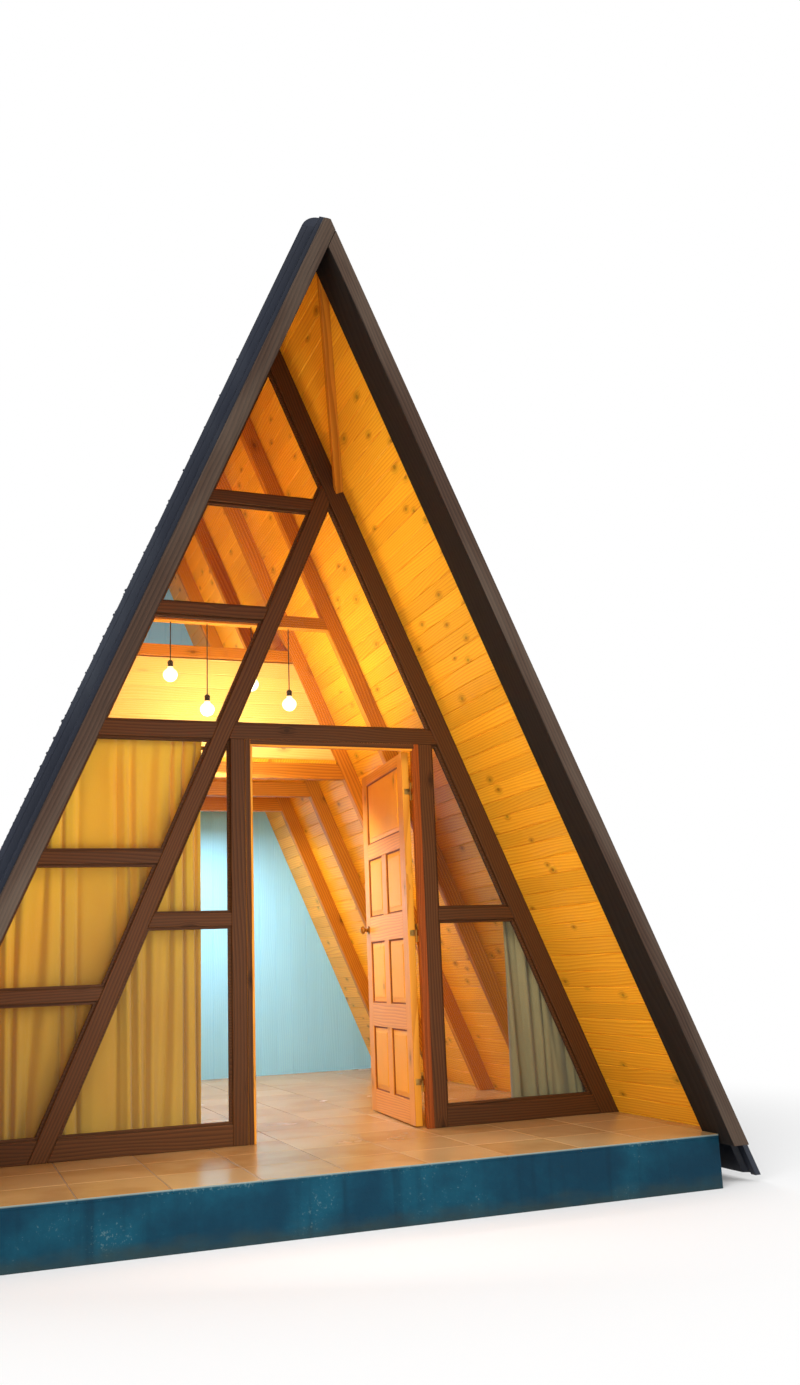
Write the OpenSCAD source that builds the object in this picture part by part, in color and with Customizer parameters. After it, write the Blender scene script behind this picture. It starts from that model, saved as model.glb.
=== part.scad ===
// A-frame cabin on a low plinth: steep boarded roof, deep porch, glazed front and panelled door.
// X runs across the front, Y runs from the porch to the back and Z is up, in millimetres.
// The origin is the middle of the cabin's footprint, on the ground.

/* [Plinth] */
// Height of the concrete below the tiles
plinth_h = 232; // [150:1:400]
// Thickness of the clay floor tiles
tile_t = 18; // [10:1:30]
// Distance the plinth stands back from the barges' faces at the front and back
plinth_back = 90; // [0:5:150]
// Gap between the plinth's sides and the barges and lining
side_gap = 2; // [1:0.5:10]

/* [Roof] */
// Half width of the barge boards' outer line at floor level
roof_half = 1988; // [1860:2:2300]
// Height of the barge boards' outer point above the floor
roof_rise = 4640; // [4400:10:5200]
// Thickness of the lining boards
lining_t = 20; // [12:1:30]
// Distance the lining boards stand back from the barge's front
lining_back = 60; // [20:5:100]
// Depth of the purlins between lining and sheets
purlin_t = 30; // [20:1:80]
// Height of a purlin's face
purlin_w = 60; // [40:1:90]
// Number of purlins on each slope
purlin_count = 8; // [5:1:11]
// Thickness of the folded roof sheets
sheet_t = 4; // [2:1:8]
// Height of the ribs on the roof sheets
rib_h = 24; // [12:1:40]
// Width of a rib on the roof sheets at its foot
rib_w = 70; // [50:1:110]
// Width of a rib on the roof sheets at its crest
rib_crest = 34; // [16:1:44]
// Flat width at the sheets' front and rear edges
rib_margin = 40; // [20:1:80]
// Number of ribs on each slope
rib_count = 14; // [8:1:18]
// Distance the sheets stand back from the barge's front
sheet_back = 150; // [60:5:150]
// Gap between the sheets' feet and the ground
sheet_foot = 30; // [10:5:80]
// Radius of the ridge cap's rolled crown
cap_roll = 100; // [60:1:120]
// Drop of the ridge cap from its crown
cap_drop = 240; // [180:5:400]
// Thickness of the ridge cap
cap_t = 4; // [2:1:8]

/* [Barge] */
// Width of the barge's front face, square to the slope
barge_w = 80; // [60:1:120]
// Depth of the front barge from front to back
barge_d = 235; // [180:5:260]
// Depth of the rear barge from front to back
rear_barge_d = 180; // [160:5:185]
// Drop of the barge's cut top below its sharp point
barge_cut = 42; // [10:1:70]
// Distance the barge foot hangs below the floor
barge_foot = 50; // [20:5:120]
// Width of the soffit braces
soffit_brace_w = 45; // [30:1:90]
// Thickness of the soffit braces
soffit_brace_t = 50; // [20:1:58]
// Height above the floor where a soffit brace meets the front rafter
soffit_brace_z = 3660; // [3300:10:3800]

/* [Frame] */
// Distance from the barge's front to the glazed front
porch_d = 1174; // [900:2:1300]
// Distance from one rafter to the next
bay = 840; // [700:10:850]
// Number of bays behind the glazed front
bay_count = 5; // [4:1:7]
// Distance the roof runs out past the back wall
back_eave = 198; // [190:2:400]
// Width of the front rafters, square to the slope
rafter_w = 110; // [90:1:150]
// Width of the inner rafters, square to the slope
inner_rafter_w = 100; // [70:1:140]
// Depth of every rafter from front to back
rafter_d = 66; // [60:1:90]
// Width of the posts beside the door
post_w = 80; // [60:1:100]
// Gap from the right post to the rafter under the transom
post_gap = 39; // [5:1:60]
// Gap from the left post to the sloping brace under the transom
brace_gap = 10; // [5:1:60]
// Height of the transom's underside above the floor
transom_z = 2105; // [2050:5:2150]
// Height of the transom
transom_h = 84; // [60:1:100]
// Height of the rails in the glazed front
rail_h = 68; // [50:1:90]
// Distance between the left hand rails, from middle to middle
rail_step = 684; // [600:2:700]
// Height of the sills
sill_h = 105; // [80:1:150]
// Middle of the rails beside the doorway above the floor
mid_rail_z = 1135; // [900:5:1250]
// Width of the sloping brace, square to itself
brace_w = 84; // [60:1:100]
// Thickness of the glass
glass_t = 8; // [5:1:12]

/* [Door] */
// Width between the posts
doorway_w = 1022; // [900:2:1060]
// Thickness of the door lining
frame_t = 28; // [20:1:40]
// Thickness of the door leaf
leaf_t = 40; // [36:1:46]
// Clearance round the door leaf
leaf_gap = 7; // [7:1:10]
// Width of the leaf's stiles
stile_w = 105; // [90:1:130]
// Width of the leaf's middle stile
mid_stile_w = 96; // [80:1:120]
// Height of the leaf's bottom rail
bottom_rail_h = 128; // [100:2:160]
// Height of the lowest pair of panels
low_panel_h = 375; // [300:5:400]
// Height of the rail over the lowest panels
low_rail_h = 138; // [100:2:150]
// Height of the middle pair of panels
mid_panel_h = 368; // [300:4:400]
// Height of the rail that carries the knobs
lock_rail_h = 150; // [130:2:180]
// Height of the upper pair of panels
high_panel_h = 360; // [300:5:400]
// Height of the rail under the top panel
frieze_rail_h = 95; // [80:1:120]
// Height of the leaf's top rail
top_rail_h = 65; // [60:1:110]
// Depth that the panels lie back from the stiles
panel_sink = 12; // [6:1:14]
// Width of the bevel round each panel
bevel_w = 38; // [20:1:60]
// Depth of the bevel round each panel
bevel_d = 8; // [3:1:10]
// Angle that the leaf stands open, from closed
leaf_open = 95; // [0:1:98]
// Distance of the knobs from the leaf's free edge
knob_in = 58; // [45:1:80]
// Diameter of the door knobs
knob_d = 50; // [40:1:60]

/* [Inside] */
// Height of the loft beams' underside above the floor
loft_z = 2170; // [2150:5:2400]
// Height of the loft beams
loft_beam_h = 110; // [80:1:150]
// Thickness of the loft boards
loft_t = 26; // [18:1:40]
// Height of the loft guard's top above the floor
guard_z = 3000; // [2900:10:3100]
// Thickness of the loft guard
guard_t = 24; // [18:1:40]
// Height of the collar ties' underside above the floor
collar_z = 3010; // [2950:10:3200]
// Height of the collar ties
collar_h = 80; // [60:1:110]
// Thickness of the back wall's skins
skin_t = 22; // [15:1:30]
// Diameter of the lamp bulbs
bulb_d = 90; // [60:1:110]
// Drop of the lowest lamp below the collar tie
lamp_drop = 594; // [400:2:700]
// Diameter of the curtain rod
rod_d = 22; // [16:1:30]
// Diameter of the rod's brackets
bracket_d = 13; // [8:1:15]
// Depth of the curtains' folds
fold_d = 70; // [50:1:100]
// Distance from the glazed front's back to the middle of the curtains
curtain_back = 70; // [60:1:120]
// Gap from the left post to the left curtain
left_curtain_gap = 130; // [60:5:300]
// Gap from the right post to the right curtain
right_curtain_gap = 458; // [300:2:600]
// Height of the curtains' hems above the floor
hem_z = 20; // [10:1:60]

/* [Hidden] */
$fn = 48;

// Clearance between pieces that touch on a slope
seat = 0.2;
floor_z = plinth_h + tile_t;
ridge_z = floor_z + roof_rise;
pitch = atan2(roof_rise, roof_half);
run = 1 / tan(pitch);
roof_l = porch_d + bay * bay_count + rafter_d + skin_t + back_eave;
plinth_l = roof_l - 2 * plinth_back;
y_front = -roof_l / 2;
y_back = roof_l / 2;
y_glass = y_front + porch_d;
y_in = y_glass + rafter_d;
y_rear = y_glass + bay * bay_count;
loft_y = y_glass + 2 * bay;
lining_in = -seat;
lining_out = lining_in - lining_t;
front_rafter_in = lining_in + seat + rafter_w;
rafter_in = lining_in + seat + inner_rafter_w;
sheet_in = lining_out - purlin_t - 2 * seat;
rib_out = sheet_in - sheet_t - rib_h;
cap_in = rib_out - seat;
cap_out = cap_in - cap_t;
verge = sheet_back + sheet_t + seat;
far = 2 * roof_rise;

// Height of a roof line over the middle, for an offset square to the slope
function crown(off) = ridge_z - off / cos(pitch);
// Half width between a pair of roof lines at height z
function half_at(off, z) = (crown(off) - z) * run;
// Offset of the roof line that passes a distance x from the middle at height z
function off_at(x, z) = (ridge_z - z - x / run) * cos(pitch);
// Point where the left line at off_l, carried past the ridge, meets the right line at off_r
function lap(off_l, off_r) =
  [(crown(off_r) - crown(off_l)) / 2 * run, (crown(off_l) + crown(off_r)) / 2];

foot_half = half_at(barge_w, floor_z) - side_gap;
floor_half = half_at(0, floor_z) - side_gap;
barge_top = ridge_z - barge_cut;
foot_z = floor_z - barge_foot;
roll_z = crown(cap_out) - cap_roll / cos(pitch);
roll_in = cap_roll - cap_t;
sheet_top = roll_z + roll_in * cos(pitch);
roll_steps = 8;
transom_low = floor_z + transom_z;
transom_mid = transom_low + transom_h / 2;
loft_top = floor_z + loft_z + loft_beam_h + loft_t;
post_r = round(half_at(front_rafter_in, transom_low) - post_gap - post_w);
post_l = post_r - doorway_w;
brace_in = off_at(post_w - post_l + brace_gap, transom_low);
brace_out = brace_in - brace_w;
stop_t = 12;
stop_gap = 5;
leaf_w = doorway_w - 2 * frame_t - 2 * leaf_gap;
leaf_h = transom_z - frame_t - 2 * leaf_gap;
pin_r = 3;
pin_slack = 0.05;
knuckle_r = 6;
hinge_gap = 1;
hinge_t = 2.5;
hinge_plate_w = 36;
hinge_h = 100;
hinge_slit = 0.5;
cut_over = 1;
hinge_end = 180;
hinge_x = post_r - frame_t - leaf_gap / 2;
hinge_y = y_in + knuckle_r + hinge_gap;
hinge_zs = [hinge_end, (leaf_h - hinge_h) / 2, leaf_h - hinge_end - hinge_h];

// Runs a shape drawn in X and Z from y to y + len
module along_y(y, len) {
  translate([0, y + len, 0]) rotate([90, 0, 0]) linear_extrude(len) children();
}

module side(left) {
  if (left) mirror([1, 0, 0]) children();
  else children();
}

// Band of the right slope between two offsets, from height z up to the middle
module slope_band(off_a, off_b, z) {
  polygon([
    [half_at(off_a, z), z],
    [half_at(off_b, z), z],
    [0, crown(off_b)],
    [0, crown(off_a)]
  ]);
}

// The same band cut level at height top
module cut_band(off_a, off_b, z, top) {
  polygon([
    [half_at(off_a, z), z],
    [half_at(off_b, z), z],
    [half_at(off_b, top), top],
    [half_at(off_a, top), top]
  ]);
}

// Points of the rolled crown at radius r, from step a to step b, with step 0 at the top
function roll(r, a, b) = [
  for (i = [a : b]) [r * sin(pitch * i / roll_steps), roll_z + r * cos(pitch * i / roll_steps)]
];

// Shape between the two slopes at one offset, from height z up to height top
module gable(off, z, top) {
  intersection() {
    polygon([[-half_at(off, z), z], [half_at(off, z), z], [0, crown(off)]]);
    translate([-far, z]) square([2 * far, top - z]);
  }
}

// Plan of the floor: wide between the slopes and narrow to pass between the barges' feet
module floor_plan() {
  wide_y = y_front + barge_d + side_gap;
  wide_l = roof_l - barge_d - rear_barge_d - 2 * side_gap;
  translate([-foot_half, -plinth_l / 2]) square([2 * foot_half, plinth_l]);
  translate([-floor_half, wide_y]) square([2 * floor_half, wide_l]);
}

module plinth() {
  color("steelblue") linear_extrude(plinth_h) floor_plan();
}

module floor_tiles() {
  color("peru") translate([0, 0, plinth_h]) linear_extrude(tile_t) floor_plan();
}

module lining(left) {
  color("goldenrod") side(left)
    along_y(y_front + lining_back, roof_l - 2 * lining_back)
      cut_band(lining_out, lining_in, foot_z, ridge_z);
}

module purlins() {
  first = floor_z + purlin_w;
  step = (crown(lining_out) - first - 4 * purlin_w) / (purlin_count - 1);
  color("sienna")
    for (left = [false, true], i = [0 : purlin_count - 1])
      side(left) along_y(y_front + verge, roof_l - 2 * verge)
        intersection() {
          slope_band(lining_out - seat - purlin_t, lining_out - seat, floor_z);
          translate([0, first + i * step]) square([far, purlin_w]);
        }
}

// Section of a folded sheet across its ribs, drawn in Y and thickness
module sheet_section(len) {
  flank = (rib_w - rib_crest) / 2;
  step = (len - 2 * rib_margin - rib_w) / (rib_count - 1);
  ribs = [
    for (i = [0 : rib_count - 1], q = [[0, 0], [flank, rib_h], [rib_w - flank, rib_h], [rib_w, 0]])
      [rib_margin + i * step + q[0], q[1]]
  ];
  line = concat([[0, 0]], ribs, [[len, 0]]);
  last = len(line) - 1;
  polygon(concat(
    [for (q = line) q + [0, sheet_t]],
    [for (i = [last : -1 : 0]) line[i]]
  ));
}

module roof_sheets(left) {
  span = roof_l - 2 * sheet_back;
  slope_l = roof_rise / sin(pitch);
  color("#2b2f3a") side(left) {
    intersection() {
      translate([0, 0, crown(sheet_in)]) rotate([0, pitch, 0])
        translate([-rib_h - roof_half / 4, y_front + sheet_back, 0])
          rotate([90, 0, 90]) linear_extrude(slope_l + roof_half) sheet_section(span);
      along_y(y_front, roof_l) translate([0, sheet_foot]) square([far, sheet_top - sheet_foot]);
    }
    for (y = [y_front + sheet_back, y_back - sheet_back - sheet_t])
      along_y(y, sheet_t) verge_2d();
  }
}

// Closure from the lining out to the sheet, carried up under the rolled crown
module verge_2d() {
  mid = sheet_in - sheet_t / 2;
  low = lining_out - seat;
  top = ridge_z + seat;
  arc = roll(roll_in - seat, 0, roll_steps);
  end_z = arc[roll_steps][1];
  polygon(concat(
    [[half_at(mid, foot_z), foot_z], [half_at(low, foot_z), foot_z], [half_at(low, top), top], [0, top]],
    arc,
    [[half_at(mid, end_z), end_z]]
  ));
}

// Cap bent over the ridge, with a rolled crown and a flat flange down each slope
module ridge_cap() {
  z = roll_z + cap_roll - cap_drop;
  arc = roll(cap_roll, -roll_steps, roll_steps);
  color("#23262f")
    along_y(y_front + sheet_back, roof_l - 2 * sheet_back)
      polygon(concat(
        [[-half_at(cap_out, z), z], [-half_at(cap_in, z), z]],
        roll(roll_in, -roll_steps, roll_steps),
        [[half_at(cap_in, z), z], [half_at(cap_out, z), z]],
        [for (i = [2 * roll_steps : -1 : 0]) arc[i]]
      ));
}

// Pair of barge boards: the left one laps over the ridge and the right one butts under it
module barge(left, y, depth) {
  color("#4a4038") along_y(y, depth)
    if (left)
      polygon([
        [-half_at(0, foot_z), foot_z],
        [-half_at(barge_w, foot_z), foot_z],
        lap(barge_w, 0),
        [half_at(0, barge_top), barge_top],
        [-half_at(0, barge_top), barge_top]
      ]);
    else
      polygon([
        [half_at(0, foot_z), foot_z],
        [half_at(barge_w, foot_z), foot_z],
        lap(barge_w + seat, barge_w),
        lap(barge_w + seat, 0)
      ]);
}

// Rafter standing on the floor under the lining
module rafter(left, y, off) {
  side(left) along_y(y, rafter_d) slope_band(lining_in + seat, off, floor_z);
}

module front_rafter(left) {
  color("#5a3320") rafter(left, y_glass, front_rafter_in);
}

module inner_rafters(left) {
  color("sienna") for (i = [1 : bay_count]) rafter(left, y_glass + i * bay, rafter_in);
}

// Board on the lining from the ridge at the barge to the front rafter
module soffit_brace(left) {
  top = soffit_brace_t * tan(pitch) + side_gap;
  foot = (crown(lining_in) - floor_z - soffit_brace_z) / sin(pitch);
  y_a = y_front + barge_d;
  color("chocolate") side(left)
    translate([0, 0, crown(lining_in + seat)]) rotate([0, pitch, 0])
      translate([0, 0, -soffit_brace_t]) linear_extrude(soffit_brace_t)
        polygon([
          [top, y_a],
          [top + soffit_brace_w, y_a],
          [foot + soffit_brace_w, y_glass],
          [foot, y_glass]
        ]);
}

// The sloping brace from the floor to the right front rafter, grown on each side
module brace_2d(grow) {
  z = floor_z - grow;
  polygon([
    [-half_at(brace_out - grow, z), z],
    [-half_at(brace_in + grow, z), z],
    lap(brace_in + grow, front_rafter_in + seat - grow),
    lap(brace_out - grow, front_rafter_in + seat - grow)
  ]);
}

module front_2d() {
  gable(front_rafter_in + seat, floor_z, far);
}

// Level strip of the front from height z between two places, less the brace
module strip_2d(z, h, x_a, x_b) {
  difference() {
    intersection() {
      front_2d();
      translate([x_a, z]) square([x_b - x_a, h]);
    }
    brace_2d(seat);
  }
}

module transom_2d() {
  strip_2d(transom_low, transom_h, -far, far);
}

// Space on the left of the brace
module left_of_brace() {
  polygon([
    [-half_at(brace_out, floor_z), floor_z],
    lap(brace_out, front_rafter_in),
    [-far, lap(brace_out, front_rafter_in)[1]],
    [-far, floor_z]
  ]);
}

module left_rails_2d() {
  for (k = [-2, -1, 1, 2])
    intersection() {
      strip_2d(transom_mid + k * rail_step - rail_h / 2, rail_h, -far, far);
      left_of_brace();
    }
}

module mid_rails_2d() {
  z = floor_z + mid_rail_z - rail_h / 2;
  difference() {
    strip_2d(z, rail_h, -far, post_l - post_w);
    left_of_brace();
  }
  strip_2d(z, rail_h, post_r + post_w, far);
}

module left_sill_2d() {
  strip_2d(floor_z, sill_h, -far, post_l - post_w);
}

module right_sill_2d() {
  strip_2d(floor_z, sill_h, post_r + post_w, far);
}

module frame_piece() {
  color("#5a3320") along_y(y_glass, rafter_d) children();
}

module post(x) {
  frame_piece() translate([x, floor_z]) square([post_w, transom_z]);
}

// Glass between two places and two heights, cut round the timbers
module panes(x_a, x_b, z_a, z_b) {
  color([0.75, 0.85, 0.9, 0.35])
    along_y(y_glass + (rafter_d - glass_t) / 2, glass_t)
      difference() {
        intersection() {
          front_2d();
          translate([x_a, z_a]) square([x_b - x_a, z_b - z_a]);
        }
        brace_2d(seat);
        left_rails_2d();
        mid_rails_2d();
        left_sill_2d();
        right_sill_2d();
      }
}

// Door lining: two sides and a head, with a stop in front of the leaf
module door_lining() {
  stop_d = rafter_d - leaf_t - stop_gap;
  clear_h = transom_z - frame_t;
  color("#8a4b22") {
    along_y(y_glass, rafter_d)
      difference() {
        translate([post_l, floor_z]) square([doorway_w, transom_z]);
        translate([post_l + frame_t, floor_z]) square([doorway_w - 2 * frame_t, clear_h]);
      }
    along_y(y_glass, stop_d)
      difference() {
        translate([post_l + frame_t, floor_z]) square([doorway_w - 2 * frame_t, clear_h]);
        translate([post_l + frame_t + stop_t, floor_z])
          square([doorway_w - 2 * frame_t - 2 * stop_t, clear_h - stop_t]);
      }
  }
}

// Places a piece drawn about the hinge line, with the leaf closed along -X
module on_leaf() {
  translate([hinge_x, hinge_y, floor_z]) rotate([0, 0, -leaf_open]) children();
}

leaf_in = y_in - hinge_y;
leaf_out = leaf_in - leaf_t;
leaf_free = -leaf_gap / 2 - leaf_w;

// Space cut into one face of the leaf round a raised and bevelled panel of width w and height h
module panel_cut(w, h) {
  difference() {
    cube([w, panel_sink, h]);
    intersection() {
      linear_extrude(h) bevelled(w);
      translate([w, 0, 0]) rotate([0, -90, 0]) linear_extrude(w) bevelled(h);
    }
  }
}

// Section of a bevelled panel across its width, standing on the sunk ground
module bevelled(w) {
  polygon([
    [0, panel_sink + cut_over],
    [0, panel_sink],
    [bevel_w, panel_sink - bevel_d],
    [w - bevel_w, panel_sink - bevel_d],
    [w, panel_sink],
    [w, panel_sink + cut_over]
  ]);
}

module leaf_panels() {
  pair_w = (leaf_w - 2 * stile_w - mid_stile_w) / 2;
  z_low = leaf_gap + bottom_rail_h;
  z_mid = z_low + low_panel_h + low_rail_h;
  z_high = z_mid + mid_panel_h + lock_rail_h;
  z_top = z_high + high_panel_h + frieze_rail_h;
  x = leaf_free + stile_w;
  for (row = [[z_low, low_panel_h], [z_mid, mid_panel_h], [z_high, high_panel_h]], col = [0, 1])
    translate([x + col * (pair_w + mid_stile_w), 0, row[0]]) panel_cut(pair_w, row[1]);
  translate([x, 0, z_top])
    panel_cut(leaf_w - 2 * stile_w, leaf_gap + leaf_h - top_rail_h - z_top);
}

module door_leaf() {
  color("#d98a3a") on_leaf()
    difference() {
      translate([leaf_free, leaf_out, leaf_gap]) cube([leaf_w, leaf_t, leaf_h]);
      translate([0, leaf_out, 0]) leaf_panels();
      translate([0, leaf_in, 0]) mirror([0, 1, 0]) leaf_panels();
    }
}

// Plates and knuckles of the butt hinges on the door lining, with their pins
module frame_hinges() {
  seg = hinge_h / 3;
  color("#b08d57") translate([hinge_x, hinge_y, floor_z + leaf_gap])
    for (z = hinge_zs) {
      for (s = [z, z + 2 * seg]) {
        translate([0, 0, s]) cylinder(r = knuckle_r, h = seg);
        translate([leaf_gap / 2 - hinge_t, -hinge_plate_w, s]) cube([hinge_t, hinge_plate_w, seg]);
      }
      translate([0, 0, z]) cylinder(r = pin_r, h = hinge_h);
    }
}

// Plates and knuckles of the butt hinges on the leaf's edge
module leaf_hinges() {
  seg = hinge_h / 3;
  color("#b08d57") on_leaf() translate([0, 0, leaf_gap])
    for (z = hinge_zs)
      translate([0, 0, z + seg + hinge_slit])
        difference() {
          h = seg - 2 * hinge_slit;
          union() {
            cylinder(r = knuckle_r, h = h);
            translate([-leaf_gap / 2, -hinge_plate_w, 0]) cube([hinge_t, hinge_plate_w, h]);
          }
          translate([0, 0, -cut_over]) cylinder(r = pin_r + pin_slack, h = h + 2 * cut_over);
        }
}

// Turned knob and rose, standing on its rose along +Z, in shares of the knob's radius
knob_line = [[0, 0], [1.04, 0], [1.04, 0.16], [0.44, 0.28], [0.36, 1.04], [0.8, 1.2], [1, 1.6],
  [0.88, 2], [0.48, 2.2], [0, 2.24]];

module knob() {
  rotate_extrude() polygon(knob_line * (knob_d / 2));
}

module door_knobs() {
  z = leaf_gap + bottom_rail_h + low_panel_h + low_rail_h + mid_panel_h + lock_rail_h / 2;
  color("#c9a55c") on_leaf() {
    translate([leaf_free + knob_in, leaf_out, z]) rotate([90, 0, 0]) knob();
    translate([leaf_free + knob_in, leaf_in, z]) rotate([-90, 0, 0]) knob();
  }
}

// Beam between the inner rafters of frame i
module cross_beam(i, z, h) {
  along_y(y_glass + i * bay, rafter_d) gable(rafter_in + seat, z, z + h);
}

module collar_ties() {
  color("sienna") for (i = [1, 2]) cross_beam(i, floor_z + collar_z, collar_h);
}

module loft_beams() {
  color("sienna") for (i = [2 : bay_count - 1]) cross_beam(i, floor_z + loft_z, loft_beam_h);
}

module loft_boards() {
  half = half_at(rafter_in + seat, loft_top);
  color("goldenrod") translate([-half, loft_y, loft_top - loft_t])
    cube([2 * half, y_rear - skin_t - loft_y, loft_t]);
}

module loft_guard() {
  color("wheat") along_y(loft_y + (rafter_d - guard_t) / 2, guard_t)
    gable(rafter_in + seat, loft_top, floor_z + guard_z);
}

module back_wall(y) {
  along_y(y, skin_t) gable(lining_in + seat, floor_z, far);
}

// Lamp with its stem, hung with its bulb's foot at drop below the stem's top
module lamp(drop) {
  stem_r = 4;
  socket_r = 18;
  socket_h = 62;
  neck = bulb_d * 0.85;
  translate([0, 0, -drop + neck]) cylinder(r = socket_r, h = socket_h);
  translate([0, 0, -drop + neck]) cylinder(r = stem_r, h = drop - neck);
  translate([0, 0, -drop + bulb_d / 2]) {
    sphere(d = bulb_d);
    cylinder(r1 = bulb_d * 0.42, r2 = socket_r * 0.9, h = neck - bulb_d / 2 + cut_over);
  }
}

// Lamps under the first collar tie, each at its own share of the tie's half and of the drop
module pendant_lamps() {
  half = half_at(rafter_in, floor_z + collar_z);
  shares = [[-0.73, 0.65], [-0.34, 1], [0.14, 0.71], [0.555, 0.91]];
  color("gold")
    for (q = shares)
      translate([q[0] * half, y_glass + bay + rafter_d / 2, floor_z + collar_z])
        lamp(q[1] * lamp_drop);
}

curtain_y = y_in + curtain_back;
curtain_top = transom_low - rod_d * 2;

// Rod behind the left glass, on a bracket from the rafter and one from the brace
module curtain_rod() {
  z = curtain_top + seat + rod_d / 2;
  x_a = -half_at(lining_in + rod_d, z);
  x_b = -half_at((brace_in + brace_out) / 2, z);
  color("#b08d57") {
    translate([x_a, curtain_y, z]) rotate([0, 90, 0]) cylinder(d = rod_d, h = x_b + rod_d - x_a);
    for (x = [x_a + 3 * rod_d, x_b])
      translate([x, y_in, z]) rotate([-90, 0, 0]) cylinder(d = bracket_d, h = curtain_back);
  }
}

module left_curtain() {
  low = floor_z + hem_z;
  off = lining_in + seat;
  x = post_l - post_w - left_curtain_gap;
  color("khaki") along_y(curtain_y - fold_d / 2, fold_d)
    polygon([
      [-half_at(off, low), low],
      [x, low],
      [x, curtain_top],
      [-half_at(off, curtain_top), curtain_top]
    ]);
}

module right_curtain() {
  low = floor_z + hem_z;
  off = lining_in + seat;
  x = post_r + post_w + right_curtain_gap;
  color("khaki") along_y(curtain_y - fold_d / 2, fold_d)
    polygon([[x, low], [half_at(off, low), low], [x, crown(off) - x / run]]);
}

plinth();
floor_tiles();
lining(true);  // left_lining
lining(false);  // right_lining
purlins();
roof_sheets(true);  // left_roof_sheets
roof_sheets(false);  // right_roof_sheets
ridge_cap();
barge(true, y_front, barge_d);  // left_barge
barge(false, y_front, barge_d);  // right_barge
barge(true, y_back - rear_barge_d, rear_barge_d);  // rear_left_barge
barge(false, y_back - rear_barge_d, rear_barge_d);  // rear_right_barge
soffit_brace(true);  // left_soffit_brace
soffit_brace(false);  // right_soffit_brace
front_rafter(true);  // left_front_rafter
front_rafter(false);  // right_front_rafter
inner_rafters(true);  // left_rafters
inner_rafters(false);  // right_rafters
frame_piece() brace_2d(0);  // brace
frame_piece() transom_2d();  // transom
post(post_l - post_w);  // left_post
post(post_r);  // right_post
frame_piece() left_rails_2d();  // left_rails
frame_piece() mid_rails_2d();  // mid_rails
frame_piece() left_sill_2d();  // left_sill
frame_piece() right_sill_2d();  // right_sill
panes(-far, far, transom_low + transom_h, far);  // upper_glass
panes(-far, post_l - post_w, floor_z, transom_low);  // left_glass
panes(post_r + post_w, far, floor_z, transom_low);  // right_glass
door_lining();
frame_hinges();
door_leaf();
leaf_hinges();
door_knobs();
collar_ties();
loft_beams();
loft_boards();
loft_guard();
color("#8a5a30") back_wall(y_rear + rafter_d);  // back_outer_wall
color("whitesmoke") back_wall(y_rear - skin_t);  // back_inner_wall
pendant_lamps();
curtain_rod();
left_curtain();
right_curtain();
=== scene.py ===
# %% [markdown]
# # An A-frame cabin, board by board
#
# The imported model gives every timber its place and size. This lesson dresses it: boards with real
# joints, eased timbers, a framed door, glazing beads, cloth and lamps, each on the body that it
# moves with. We load the model first. Nothing may reach far outside it.

# %% Load the imported frame
import math

import bpy
import numpy as np
from mathutils import Matrix, Vector


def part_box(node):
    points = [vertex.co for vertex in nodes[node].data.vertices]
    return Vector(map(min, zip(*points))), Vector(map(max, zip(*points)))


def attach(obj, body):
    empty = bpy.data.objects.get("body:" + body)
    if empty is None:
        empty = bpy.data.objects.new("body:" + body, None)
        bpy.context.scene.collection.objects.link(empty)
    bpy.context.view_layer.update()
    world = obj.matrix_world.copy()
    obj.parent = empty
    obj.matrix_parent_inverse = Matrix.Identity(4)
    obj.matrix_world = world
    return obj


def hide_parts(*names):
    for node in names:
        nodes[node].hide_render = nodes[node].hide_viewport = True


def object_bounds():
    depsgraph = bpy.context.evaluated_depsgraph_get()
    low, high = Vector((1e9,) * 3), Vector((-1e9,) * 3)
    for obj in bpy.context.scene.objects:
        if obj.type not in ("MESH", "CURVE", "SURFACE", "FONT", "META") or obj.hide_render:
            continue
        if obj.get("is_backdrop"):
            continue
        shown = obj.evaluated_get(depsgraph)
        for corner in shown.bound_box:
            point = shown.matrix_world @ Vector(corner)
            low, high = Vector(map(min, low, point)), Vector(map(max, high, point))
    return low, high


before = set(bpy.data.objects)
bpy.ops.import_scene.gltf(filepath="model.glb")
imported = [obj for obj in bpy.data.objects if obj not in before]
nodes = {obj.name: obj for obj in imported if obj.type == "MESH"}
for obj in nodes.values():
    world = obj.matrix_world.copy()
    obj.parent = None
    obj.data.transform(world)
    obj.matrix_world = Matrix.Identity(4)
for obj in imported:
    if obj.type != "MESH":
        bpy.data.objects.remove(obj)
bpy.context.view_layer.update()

# %% [markdown]
# ## The camera
#
# The photograph was taken from the left of the porch, low and tilted up. A camera can be found by
# trying, but here its place and angles were solved from the corners of the built front, so the
# timbers fall where the photograph has them. Its axes come from a yaw, a pitch and a roll, and its
# lens from the focal length and the height of the photograph, both in pixels.

# %% Set the camera
def added(name, data):
    """An object of its own for a camera, a lamp, a curve or a mesh."""
    thing = bpy.data.objects.new(name, data)
    bpy.context.scene.collection.objects.link(thing)
    return thing


def facing(x, y, z):
    """A turn whose own axes point along these."""
    return Matrix((x, y, z)).transposed().to_4x4()


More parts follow.
